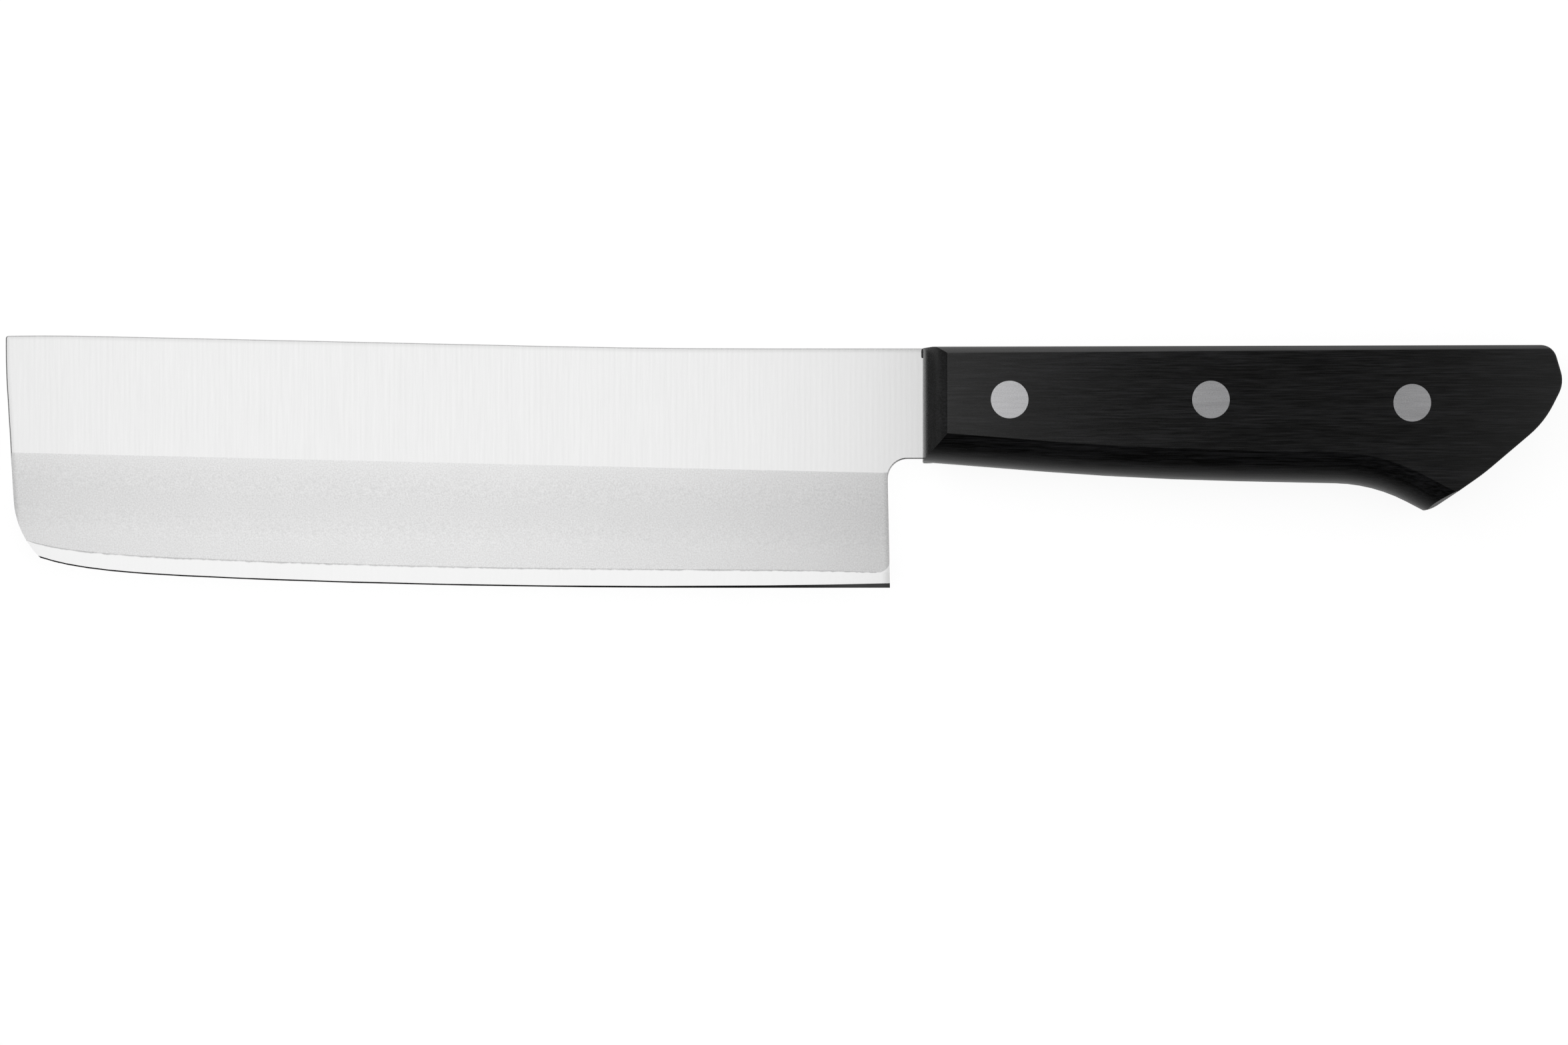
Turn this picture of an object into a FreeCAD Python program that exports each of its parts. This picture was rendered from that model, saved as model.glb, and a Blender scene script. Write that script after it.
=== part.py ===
# A nakiri, the straight-edged Japanese knife for vegetables, lying on its right side.
# The blade is three layers of steel, bonded: a hard core that carries the edge, between two softer claddings.
# All three layers run on under the handle as a full tang. Two scales of black laminated wood are riveted to it.
# Each rivet is a pair, as cutlers use: a stud driven into a sleeve, with both heads ground flush with the wood.
#
# Design datum: X runs from the nose (negative) to the butt (positive), and is 0 where the handle starts.
# Y runs up, from the edge to the spine, and is 0 at the front end of the handle's top line.
# Z runs out of the left side of the knife, and is 0 in the middle of the core.
# The finished pieces are moved so that the origin lies on the table, under the middle of the knife's box.
import FreeCAD, Part
import math
import os

Vector = FreeCAD.Vector

# Blade, seen from the side
BLADE_LENGTH = 165.0         # from the heel to the nose
HEEL_SETBACK = 6.1           # from the handle to the heel
BLADE_HEIGHT = 44.7          # from the spine to the lowest of the edge
NECK_HEIGHT = 20.65          # the bar that joins the blade to the handle
CHOIL_RADIUS = 3.75          # the hollow between the neck and the heel
HEEL_LEAN_DEG = 1.2          # the heel's line leans back towards the edge
SPINE_STEP = 0.22            # the spine lies this far below the handle's top line
SPINE_FLAT = 49.3            # from the handle to the bend where the spine starts to climb
SPINE_CLIMB_DEG = 1.26       # slope of the spine towards the nose
SPINE_BEND_RADIUS = 1830.0   # that bend, a very slack one
SPINE_CREST_SETBACK = 9.4    # from the nose to the crest of the spine
SPINE_CREST_RADIUS = 390.0   # the crest, also slack
SPINE_FALL_DEG = 0.7         # slope of the spine from its crest down to the nose
NOSE_TOP_RADIUS = 0.55       # the corner of the spine and the nose
NOSE_PLUMB = 5.9             # the nose drops straight for this far from its top
NOSE_BEND_RADIUS = 120.0     # then bends back, slackly
NOSE_LEAN_DEG = 3.5          # and leans by this much towards the edge
NOSE_DEPTH = 37.7            # from the nose's top to where its line would meet the flank
NOSE_FLANK_DEG = 50.0        # slope, from upright, that the nose has turned to where the edge starts
NOSE_RADIUS = 16.0           # the round that joins the nose's line to that flank
EASE_RADIUS = 0.25           # the rounding of the spine, nose and neck where fingers touch them

# Blade, ground lines, each a height above the lowest of the edge
EDGE_SWEEP = 3.75            # rise of the edge's long slack curve, from the middle to the nose
EDGE_SWEEP_LENGTH = 128.0    # from the nose to where that curve starts
EDGE_UPTURN = 5.0            # further rise at the nose, which dies away within
EDGE_UPTURN_REACH = 8.0      # about this far from it
SHINOGI_HEEL_HEIGHT = 21.4   # the ridge between the flat and the wide bevel, at the heel
SHINOGI_SLOPE_DEG = 1.34     # that ridge climbs towards the nose
STRIP_WIDTH = 3.5            # bare core steel, between the edge and the cladding
STRIP_NOSE_LOSS = 1.8        # the strip is narrower at the nose by this
STRIP_NOSE_REACH = 10.0
STRIP_HEEL_LOSS = 0.7        # and at the heel by this
STRIP_HEEL_REACH = 14.0
HEEL_ROLL_RADIUS = 2.4       # the round that polishing leaves at the cladding's corner by the heel
HONED_WIDTH = 0.25           # the honed bevel along the edge itself
HONED_HEEL_GAIN = 0.6        # which is wider towards the heel
HONED_HEEL_REACH = 22.0

# Blade, thicknesses
BLADE_THICKNESS = 1.8        # of the flats and the tang
CORE_THICKNESS = 0.6         # of the hard layer in the middle
HONED_THICKNESS = 0.2        # of the core where the honed bevel starts

# Handle, seen from the side
HANDLE_LENGTH = 119.3        # from the handle's front to the corner of the butt
HANDLE_THICKNESS = 18.0
FRONT_HEIGHT = 21.5          # at the handle's front
FRONT_RAMP = 1.8             # the handle's top rises from the spine over this length
TOP_RISE = 0.32              # rise of the top line from front to butt
BELLY_BEND = 40.3            # from the front to the slack bend of the belly
BELLY_DROP = 3.14            # of the belly from the front to that bend
BELLY_BEND_RADIUS = 655.0
WAIST_DROP = 0.92            # from that bend to the hollow where the belly turns down
WAIST_RADIUS = 30.0
WAIST_TO_BEAK = 10.04        # from that hollow to the beak, the low corner that stops the little finger
BEAK_DROP = 5.26             # of the beak below that hollow
BEAK_SETBACK = 25.26         # of the beak, from the butt
BEAK_TRIM_BELLY = 0.67       # the beak's corner is sanded off from this far before it, on the belly,
BEAK_TRIM_BUTT = 1.24        # to this far past it, on the butt
BEAK_TIP_RADIUS = 0.5        # which leaves a crisp tip
BEAK_CHIN_RADIUS = 6.0       # and a soft bend into the butt
BUTT_CORNER_DEPTH = 6.77     # from the top line down to the rearmost corner
BUTT_CORNER_RADIUS = 5.5
BUTT_TOP_SETBACK = 2.1       # of the corner of butt and top, from the rearmost corner
BUTT_TOP_RADIUS = 3.08

# The butt swells out from the straight line between its beak and its rearmost corner
BUTT_LOWER_REACH = 12.44     # along that line, from the beak to the lower of its two slack bends
BUTT_LOWER_SWELL = 1.9       # how far that bend stands out from the line
BUTT_LOWER_RADIUS = 40.0
BUTT_UPPER_REACH = 7.72      # along that line, from the rearmost corner to the upper bend
BUTT_UPPER_SWELL = 2.74
BUTT_UPPER_RADIUS = 18.0

# Handle, roundings across its thickness
BELLY_SHOULDER = 5.7         # how far up each side the round of the belly reaches
CROWN_DROP = 1.2             # how far down each side the slack round along the top reaches, at the front
CROWN_REACH = 1.78           # and how far in over the top
CROWN_RADIUS = 6.0
CROWN_TAPER = 0.5            # it rises by this much towards the butt, and so gets smaller
FRONT_BEVEL = 4.55           # how far back the round of the front reaches on each side
BEAK_FACET = 1.8             # how far the sides are sanded in at the beak
BEAK_FACET_LENGTH = 7.2      # and how far up the butt that reaches
HANDLE_EASE_RADIUS = 0.3     # the rounding of the crisp edges round each side

# Rivets
RIVET_COUNT = 3
RIVET_NAMES = ("front", "middle", "rear")
RIVET_FIRST = 16.1           # from the handle's front to the first rivet
RIVET_PITCH = 37.45
RIVET_DEPTH = 9.85           # below the top line
RIVET_REAR_DROP = 0.6        # the last one sits lower, in line with the handle's middle
RIVET_HEAD_DIAMETER = 7.0
RIVET_HEAD_THICKNESS = 2.6
SLEEVE_DIAMETER = 5.0
STUD_DIAMETER = 3.4
SLEEVE_FLOOR = 1.0           # solid steel left between the sleeve's head and its bore
STUD_END_GAP = 0.4           # between the stud's tip and that floor, and the sleeve and the stud's head
STUD_TIP_CHAMFER = 0.4
RIVET_CLEARANCE = 0.04       # round the heads and the sleeves, in their holes
STUD_CLEARANCE = 0.01        # round the studs, driven into the sleeves

# Spare length for shapes that are trimmed by others
SPARE = 15.0

HALF_BLADE = BLADE_THICKNESS / 2
HALF_CORE = CORE_THICKNESS / 2
HALF_HONED = HONED_THICKNESS / 2
HALF_HANDLE = HANDLE_THICKNESS / 2
SPINE_Y = -SPINE_STEP
EDGE_Y = SPINE_Y - BLADE_HEIGHT
HEEL_X = -HEEL_SETBACK
NOSE_X = HEEL_X - BLADE_LENGTH


def tangent_of(degrees):
    return math.tan(math.radians(degrees))


def rounded_outline(corners):
    """A closed wire of straight lines through (x, y, radius) corners, each corner rounded by its radius."""
    edges = []
    ends = []
    count = len(corners)
    for index, (x, y, radius) in enumerate(corners):
        here = Vector(x, y, 0)
        back = (Vector(*corners[index - 1][:2], 0) - here).normalize()
        ahead = (Vector(*corners[(index + 1) % count][:2], 0) - here).normalize()
        if radius == 0:
            ends.append((here, None, here))
            continue
        half_angle = back.getAngle(ahead) / 2
        reach = radius / math.tan(half_angle)
        middle = here + (back + ahead).normalize() * (radius / math.sin(half_angle) - radius)
        ends.append((here + back * reach, middle, here + ahead * reach))
    for index, (start, middle, end) in enumerate(ends):
        if middle is not None:
            edges.append(Part.Arc(start, middle, end).toShape())
        following = ends[(index + 1) % count][0]
        edges.append(Part.LineSegment(end, following).toShape())
    return Part.Wire(edges)


def plate(corners, low, high):
    """A flat plate between two heights in Z, with a rounded outline."""
    face = Part.Face(rounded_outline(corners))
    face.translate(Vector(0, 0, low))
    return face.extrude(Vector(0, 0, high - low))


def mirrored(shape):
    """The same piece on the right side of the knife."""
    return shape.mirror(Vector(0, 0, 0), Vector(0, 0, 1))


# Ground lines of the blade. Each gives the line's height above the lowest of the edge,
# at a distance from the nose.
def edge_rise(distance):
    sweep = max(0.0, 1 - distance / EDGE_SWEEP_LENGTH)
    return EDGE_SWEEP * sweep ** 2 + EDGE_UPTURN * math.exp(-distance / EDGE_UPTURN_REACH)


def honed_rise(distance):
    from_heel = BLADE_LENGTH - distance
    return edge_rise(distance) + HONED_WIDTH + HONED_HEEL_GAIN * math.exp(-from_heel / HONED_HEEL_REACH)


def cladding_rise(distance):
    from_heel = BLADE_LENGTH - distance
    width = STRIP_WIDTH
    width -= STRIP_NOSE_LOSS * math.exp(-distance / STRIP_NOSE_REACH)
    width -= STRIP_HEEL_LOSS * math.exp(-from_heel / STRIP_HEEL_REACH)
    return edge_rise(distance) + width


def shinogi_rise(distance):
    return SHINOGI_HEEL_HEIGHT + (BLADE_LENGTH - distance) * tangent_of(SHINOGI_SLOPE_DEG)


def grind_stations():
    """Distances from the nose at which the ground lines are set out, closer together at both ends."""
    near_nose = [-HEEL_ROLL_RADIUS, 0.0, EDGE_UPTURN_REACH / 2]
    near_nose += [EDGE_UPTURN_REACH * step for step in (1, 2, 4)]
    near_heel = [BLADE_LENGTH - STRIP_HEEL_REACH * step for step in (1, 0.5, 0)]
    gap = near_heel[0] - near_nose[-1]
    between = [near_nose[-1] + gap * share for share in (0.25, 0.5, 0.75)]
    return near_nose + between + near_heel + [BLADE_LENGTH + HEEL_ROLL_RADIUS]


def ground_section(rise, height):
    """A closed wire at one height in Z: all of the blade that lies above one ground line."""
    stations = grind_stations()
    points = [Vector(NOSE_X + d, EDGE_Y + rise(d), height) for d in stations]
    line = Part.BSplineCurve()
    line.interpolate(Points=points, Parameters=[d - stations[0] for d in stations])
    top = SPINE_Y + SPARE
    first = points[0]
    last = points[-1]
    corners = [
        last,
        Vector(SPARE, last.y, height),
        Vector(SPARE, top, height),
        Vector(first.x, top, height),
        first,
    ]
    sides = [Part.LineSegment(a, b).toShape() for a, b in zip(corners, corners[1:])]
    return Part.Wire([line.toShape()] + sides)


# Blade
def blade_corners():
    """The blade's outline, left over-deep below the edge, which the grinding then trims."""
    crest_x = NOSE_X + SPINE_CREST_SETBACK
    crest_y = SPINE_Y + (-SPINE_FLAT - crest_x) * tangent_of(SPINE_CLIMB_DEG)
    nose_y = crest_y - SPINE_CREST_SETBACK * tangent_of(SPINE_FALL_DEG)
    flank_x = NOSE_X + (NOSE_DEPTH - NOSE_PLUMB) * tangent_of(NOSE_LEAN_DEG)
    flank_y = nose_y - NOSE_DEPTH
    low_y = EDGE_Y - CHOIL_RADIUS
    foot_x = flank_x + (flank_y - low_y) * tangent_of(NOSE_FLANK_DEG)
    neck_y = SPINE_Y - NECK_HEIGHT
    lean = tangent_of(HEEL_LEAN_DEG)
    return [
        (0, SPINE_Y, 0),
        (-SPINE_FLAT, SPINE_Y, SPINE_BEND_RADIUS),
        (crest_x, crest_y, SPINE_CREST_RADIUS),
        (NOSE_X, nose_y, NOSE_TOP_RADIUS),
        (NOSE_X, nose_y - NOSE_PLUMB, NOSE_BEND_RADIUS),
        (flank_x, flank_y, NOSE_RADIUS),
        (foot_x, low_y, 0),
        (HEEL_X + (EDGE_Y - low_y) * lean, low_y, 0),
        (HEEL_X - (neck_y - EDGE_Y) * lean, neck_y, CHOIL_RADIUS),
        (0, neck_y, 0),
    ]


def eased_blank():
    """One cladding's part of the blade before grinding, with its outer edges eased."""
    blank = plate(blade_corners(), HALF_CORE, HALF_BLADE)
    outer = []
    for edge in blank.Edges:
        box = edge.BoundBox
        is_outer = min(box.ZMin, HALF_BLADE) > HALF_BLADE - EASE_RADIUS / 2
        is_at_handle = box.XMin > -EASE_RADIUS / 2
        is_under_edge = box.YMax < EDGE_Y
        if is_outer and not is_at_handle and not is_under_edge:
            outer.append(edge)
    return blank.makeFillet(EASE_RADIUS, outer)


def blade_core():
    sections = [
        ground_section(cladding_rise, -HALF_CORE),
        ground_section(honed_rise, -HALF_HONED),
        ground_section(edge_rise, 0),
        ground_section(honed_rise, HALF_HONED),
        ground_section(cladding_rise, HALF_CORE),
    ]
    ground = Part.makeLoft(sections, True, True)
    return plate(blade_corners(), -HALF_CORE, HALF_CORE).common(ground)


def heel_roll():
    """What polishing takes off the cladding's corner, outside the round that joins its line to the heel."""
    line_y = EDGE_Y + cladding_rise(BLADE_LENGTH)
    centre = Vector(HEEL_X - HEEL_ROLL_RADIUS, line_y + HEEL_ROLL_RADIUS, 0)
    side = 2 * HEEL_ROLL_RADIUS
    corner = Part.makeBox(side, side, BLADE_THICKNESS, centre - Vector(0, side, 0))
    return corner.cut(Part.makeCylinder(HEEL_ROLL_RADIUS, BLADE_THICKNESS, centre))


def blade_cladding():
    sections = [ground_section(cladding_rise, HALF_CORE), ground_section(shinogi_rise, HALF_BLADE)]
    ground = Part.makeLoft(sections, True, True)
    return eased_blank().common(ground).cut(heel_roll())


# Handle
def butt_swell(reach_share, reach, swell):
    """A point that stands out from the straight line between the beak and the rearmost corner."""
    beak = Vector(*BEAK)
    line = Vector(*BUTT_CORNER) - beak
    along = Vector(line).normalize()
    place = beak + line * reach_share + along * reach + Vector(along.y, -along.x, 0) * swell
    return (place.x, place.y)


def on_the_way(start, end, distance):
    """The point that lies that far from the start, straight towards the end."""
    way = (Vector(*end) - Vector(*start)).normalize()
    return (start[0] + way.x * distance, start[1] + way.y * distance)


WAIST = (HANDLE_LENGTH - BEAK_SETBACK - WAIST_TO_BEAK, -FRONT_HEIGHT - BELLY_DROP - WAIST_DROP)
BEAK = (WAIST[0] + WAIST_TO_BEAK, WAIST[1] - BEAK_DROP)
BUTT_CORNER = (HANDLE_LENGTH, -BUTT_CORNER_DEPTH)
BUTT_LOWER = butt_swell(0, BUTT_LOWER_REACH, BUTT_LOWER_SWELL)
BUTT_UPPER = butt_swell(1, -BUTT_UPPER_REACH, BUTT_UPPER_SWELL)
BUTT_TOP = (HANDLE_LENGTH - BUTT_TOP_SETBACK, TOP_RISE)
BEAK_TIP = on_the_way(BEAK, WAIST, BEAK_TRIM_BELLY)
BEAK_CHIN = on_the_way(BEAK, BUTT_LOWER, BEAK_TRIM_BUTT)


def belly_corners(front_x):
    """The underside of the handle, from a place at or before its front to the waist."""
    slope = BELLY_DROP / BELLY_BEND
    return [
        (front_x, -FRONT_HEIGHT - front_x * slope, 0),
        (BELLY_BEND, -FRONT_HEIGHT - BELLY_DROP, BELLY_BEND_RADIUS),
        (*WAIST, WAIST_RADIUS),
    ]


def handle_corners(front_x):
    """The handle's outline. It starts at front_x, which is 0 for the tang and less for a scale to be trimmed."""
    ramp = SPINE_STEP / FRONT_RAMP
    return belly_corners(front_x) + [
        (*BEAK_TIP, BEAK_TIP_RADIUS),
        (*BEAK_CHIN, BEAK_CHIN_RADIUS),
        (*BUTT_LOWER, BUTT_LOWER_RADIUS),
        (*BUTT_UPPER, BUTT_UPPER_RADIUS),
        (*BUTT_CORNER, BUTT_CORNER_RADIUS),
        (*BUTT_TOP, BUTT_TOP_RADIUS),
        (FRONT_RAMP, 0, 0),
        (front_x, SPINE_Y + front_x * ramp, 0),
    ]


def arc_radius(rise, half_width):
    """Radius of the arc that rises by that much over that half width."""
    return (rise ** 2 + half_width ** 2) / (2 * rise)


def belly_round():
    """The left half of a bar with a full round underside that follows the belly."""
    radius = arc_radius(BELLY_SHOULDER, HALF_HANDLE)
    end_x = HANDLE_LENGTH + SPARE
    end_y = WAIST[1] - (end_x - WAIST[0]) * BEAK_DROP / WAIST_TO_BEAK
    corners = belly_corners(-SPARE) + [(end_x, end_y, 0), (end_x, SPARE, 0), (-SPARE, SPARE, 0)]
    bar = plate(corners, -radius / 2, radius)
    under = []
    for edge in bar.Edges:
        box = edge.BoundBox
        if box.ZMin > radius / 2 and box.YMax < -FRONT_HEIGHT / 2:
            under.append(edge)
    return bar.makeFillet(radius, under)


def crown_trim():
    """What the round along the top takes off the left side: a long bar, hollowed to that round."""
    low = Vector(0, -CROWN_DROP, HALF_HANDLE)
    high = Vector(0, 0, HALF_HANDLE - CROWN_REACH)
    inward = Vector(0, -CROWN_REACH, -CROWN_DROP).normalize()
    centre = (low + high) / 2 + inward * math.sqrt(CROWN_RADIUS ** 2 - ((high - low).Length / 2) ** 2)
    side = centre + Vector(0, 0, CROWN_RADIUS)
    top = centre + Vector(0, CROWN_RADIUS, 0)
    middle = centre + Vector(0, 1, 1).normalize() * CROWN_RADIUS
    corners = [top, Vector(0, SPARE, top.z), Vector(0, SPARE, side.z + SPARE), side + Vector(0, 0, SPARE), side]
    sides = [Part.LineSegment(a, b).toShape() for a, b in zip(corners, corners[1:])]
    face = Part.Face(Part.Wire([Part.Arc(side, middle, top).toShape()] + sides))
    face.translate(Vector(FRONT_RAMP - SPARE, 0, 0))
    bar = face.extrude(Vector(HANDLE_LENGTH + 2 * SPARE, 0, 0))
    run = HANDLE_LENGTH - BUTT_TOP_SETBACK - FRONT_RAMP
    slope = math.degrees(math.atan2(TOP_RISE + CROWN_TAPER, run))
    bar.rotate(Vector(FRONT_RAMP, 0, 0), Vector(0, 0, 1), slope)
    return bar


def front_round():
    """A block whose front is rounded, seen from above, from the blade's face to the handle's side."""
    depth = HALF_HANDLE - HALF_BLADE
    radius = arc_radius(FRONT_BEVEL, depth)
    turn = math.asin(depth / radius) / 2
    start = Vector(0, 0, HALF_BLADE)
    middle = Vector(radius * (1 - math.cos(turn)), 0, HALF_BLADE + radius * math.sin(turn))
    end = Vector(FRONT_BEVEL, 0, HALF_HANDLE)
    back_x = HANDLE_LENGTH + SPARE
    corners = [end, Vector(back_x, 0, HALF_HANDLE), Vector(back_x, 0, HALF_BLADE), start]
    sides = [Part.LineSegment(a, b).toShape() for a, b in zip(corners, corners[1:])]
    face = Part.Face(Part.Wire([Part.Arc(start, middle, end).toShape()] + sides))
    face.translate(Vector(0, BEAK[1] - SPARE, 0))
    return face.extrude(Vector(0, 2 * SPARE - BEAK[1], 0))


def beak_facet():
    """What is sanded off the left side at the beak: all that lies outside one slightly leaning plane.

    Where the plane meets the side, its line runs from a place up the butt to a point inside the beak.
    At the tang the plane has come out to the beak's own corner.
    """
    corner = Vector(*BEAK)
    butt = (Vector(*BUTT_LOWER) - corner).normalize()
    inside = corner + Vector(-butt.y, butt.x, 0) * BEAK_FACET
    along = (corner + butt * BEAK_FACET_LENGTH - inside).normalize()
    outward = Vector(along.y, -along.x, 0)
    start = inside - along * SPARE
    depth = HALF_HANDLE - HALF_BLADE
    section = [
        (BEAK_FACET, HALF_BLADE),
        (SPARE, HALF_BLADE),
        (SPARE, HALF_HANDLE + depth),
        (-BEAK_FACET, HALF_HANDLE + depth),
    ]
    points = [start + outward * across + Vector(0, 0, height) for across, height in section]
    face = Part.Face(Part.makePolygon(points + points[:1]))
    return face.extrude(along * (3 * SPARE))


def eased_sides(wood):
    """The scale with the edges round its flat side eased."""
    crisp = [edge for edge in wood.Edges if edge.BoundBox.ZMin > HALF_HANDLE - HANDLE_EASE_RADIUS / 2]
    return wood.makeFillet(HANDLE_EASE_RADIUS, crisp)


def rivet_centres():
    places = []
    for index in range(RIVET_COUNT):
        drop = RIVET_REAR_DROP if index == RIVET_COUNT - 1 else 0
        places.append(Vector(RIVET_FIRST + index * RIVET_PITCH, -RIVET_DEPTH - drop, 0))
    return places


def upright_pin(centre, diameter, low, high):
    return Part.makeCylinder(diameter / 2, high - low, centre + Vector(0, 0, low))


def scale():
    """The left scale, with a stepped hole for each rivet."""
    wood = plate(handle_corners(-SPARE), HALF_BLADE, HALF_HANDLE)
    for form in (front_round(), belly_round()):
        wood = wood.common(form)
    wood = eased_sides(wood).cut(crown_trim()).cut(beak_facet())
    seat = HALF_HANDLE - RIVET_HEAD_THICKNESS
    for centre in rivet_centres():
        wood = wood.cut(upright_pin(centre, SLEEVE_DIAMETER + 2 * RIVET_CLEARANCE, 0, HALF_HANDLE))
        wood = wood.cut(upright_pin(centre, RIVET_HEAD_DIAMETER + 2 * RIVET_CLEARANCE, seat, 2 * HALF_HANDLE))
    return wood


def tang(low, high):
    """One layer of the tang, flush with the scales all round."""
    layer = plate(handle_corners(0), low, high)
    for centre in rivet_centres():
        layer = layer.cut(upright_pin(centre, SLEEVE_DIAMETER + 2 * RIVET_CLEARANCE, low, high))
    return layer


# Rivets
def rivet_sleeve(centre):
    """The hollow half, put in from the left."""
    seat = HALF_HANDLE - RIVET_HEAD_THICKNESS
    head = upright_pin(centre, RIVET_HEAD_DIAMETER, seat, HALF_HANDLE)
    barrel = upright_pin(centre, SLEEVE_DIAMETER, STUD_END_GAP - seat, seat)
    bore = upright_pin(centre, STUD_DIAMETER + 2 * STUD_CLEARANCE, -seat, seat - SLEEVE_FLOOR)
    return head.fuse(barrel).cut(bore).removeSplitter()


def rivet_stud(centre):
    """The solid half, driven in from the right."""
    seat = HALF_HANDLE - RIVET_HEAD_THICKNESS
    tip = seat - SLEEVE_FLOOR - STUD_END_GAP
    head = upright_pin(centre, RIVET_HEAD_DIAMETER, -HALF_HANDLE, -seat)
    stem = upright_pin(centre, STUD_DIAMETER, -seat, tip - STUD_TIP_CHAMFER)
    tip_base = centre + Vector(0, 0, tip - STUD_TIP_CHAMFER)
    point = Part.makeCone(STUD_DIAMETER / 2, STUD_DIAMETER / 2 - STUD_TIP_CHAMFER, STUD_TIP_CHAMFER, tip_base)
    return head.fuse(stem).fuse(point).removeSplitter()


def pieces():
    """Every piece of the knife, by name, in the design datum."""
    left_cladding = blade_cladding().fuse(tang(HALF_CORE, HALF_BLADE))
    left_scale = scale()
    made = {
        "blade_core": blade_core().fuse(tang(-HALF_CORE, HALF_CORE)),
        "left_cladding": left_cladding,
        "right_cladding": mirrored(left_cladding),
        "left_scale": left_scale,
        "right_scale": mirrored(left_scale),
    }
    for name, centre in zip(RIVET_NAMES, rivet_centres()):
        made[name + "_rivet_sleeve"] = rivet_sleeve(centre)
        made[name + "_rivet_stud"] = rivet_stud(centre)
    return made


def to_table(shapes):
    """Moves every piece so that the origin lies on the table, under the middle of the knife's box."""
    box = FreeCAD.BoundBox()
    for shape in shapes:
        box.add(shape.optimalBoundingBox(False, False))
    shift = Vector(-box.Center.x, -box.Center.y, -box.ZMin)
    for shape in shapes:
        shape.translate(shift)
    return shift


def main():
    made = pieces()
    shift = to_table(list(made.values()))
    os.makedirs("parts", exist_ok=True)
    for name, shape in made.items():
        solids = shape.Solids
        single = solids[0] if len(solids) == 1 else shape
        single.exportStep(os.path.join("parts", name + ".step"))
        print(f"{name}: {len(solids)} solid, {single.Volume:.1f} mm3, valid {single.isValid()}")
    print(f"moved by {shift.x:.3f}, {shift.y:.3f}, {shift.z:.3f} mm from the design datum")


main()
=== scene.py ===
"""Looks of a nakiri: the finishes of its steel, wood and rivets, a pale floor, soft light and the camera."""
import logging
import math
from dataclasses import dataclass, field
from enum import Enum
from typing import Any

import bpy
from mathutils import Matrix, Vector


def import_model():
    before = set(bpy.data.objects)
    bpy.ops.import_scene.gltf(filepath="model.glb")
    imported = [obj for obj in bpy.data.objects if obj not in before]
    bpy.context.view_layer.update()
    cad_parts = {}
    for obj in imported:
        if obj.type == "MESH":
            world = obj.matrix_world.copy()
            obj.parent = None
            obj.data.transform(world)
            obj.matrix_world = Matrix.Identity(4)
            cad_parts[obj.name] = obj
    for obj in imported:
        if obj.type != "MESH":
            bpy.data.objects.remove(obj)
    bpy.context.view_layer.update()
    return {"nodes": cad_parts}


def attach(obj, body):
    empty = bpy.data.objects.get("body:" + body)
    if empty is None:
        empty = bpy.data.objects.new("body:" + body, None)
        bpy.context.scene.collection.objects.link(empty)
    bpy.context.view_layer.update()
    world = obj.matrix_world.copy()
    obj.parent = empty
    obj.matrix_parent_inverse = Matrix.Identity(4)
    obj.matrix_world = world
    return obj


MM = 0.001
WHITE = "#FFFFFF"
Triple = tuple[float, float, float]     # along X, Y and Z
Span = tuple[float, float]
log = logging.getLogger("nakiri")


class Side(Enum):
    """The two sides of the knife, as the hand that holds it sees them."""

    LEFT = "left"
    RIGHT = "right"


class RivetPlace(Enum):
    """Where along the handle a rivet sits."""

    FRONT = "front"
    MIDDLE = "middle"
    REAR = "rear"


class RivetHalf(Enum):
    """The two halves of a rivet."""

    SLEEVE = "sleeve"
    STUD = "stud"


def linear(colour: str) -> tuple[float, float, float, float]:
    """Turns an sRGB colour into the linear one that Blender's sockets take.

    Args:
        colour: a hash sign and six hex digits.

    Returns:
        Linear red, green and blue, and an alpha of 1.
    """
    channels = [int(colour[start:start + 2], 16) / 255 for start in (1, 3, 5)]
    light = [c / 12.92 if c <= 0.04045 else ((c + 0.055) / 1.055) ** 2.4 for c in channels]
    return light[0], light[1], light[2], 1.0


def add_node(
    tree: bpy.types.NodeTree, kind: str, inputs: dict | None = None, **settings: Any
) -> bpy.types.Node:
    """Adds a node to a tree.

    Of the inputs that go by number, MULTIPLY_ADD gives 0 times 1 plus 2. MapRange turns the limits 1 and 2
    into 3 and 4, which are 0 and 1 where left out. Mix goes by the share 0 from number 2 to number 3, or
    from colour 6 to colour 7.

    Args:
        tree: the tree that gets the node.
        kind: Blender's name of the node type, without the word ShaderNode.
        inputs: for an input's name or number, its constant or the socket that feeds it.
        **settings: properties of the node itself.

    Returns:
        The new node.
    """
    node = tree.nodes.new("ShaderNode" + kind)
    for name, value in settings.items():
        setattr(node, name, value)
    for key, value in (inputs or {}).items():
        if isinstance(value, bpy.types.NodeSocket):
            tree.links.new(value, node.inputs[key])
        else:
            node.inputs[key].default_value = value
    return node


def bare_material(name: str) -> bpy.types.Material:
    """Makes a material with an empty tree.

    Args:
        name: the material's name.

    Returns:
        The material.
    """
    material = bpy.data.materials.new(name)
    material.use_nodes = True
    material.node_tree.nodes.clear()
    return material


def put_on(node: bpy.types.Object, material: bpy.types.Material) -> None:
    """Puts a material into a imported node's slots.

    Args:
        node: the node's object.
        material: its new material.
    """
    for slot in node.material_slots:
        slot.material = material
    log.info("%s wears %s", node.name, material.name)


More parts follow.
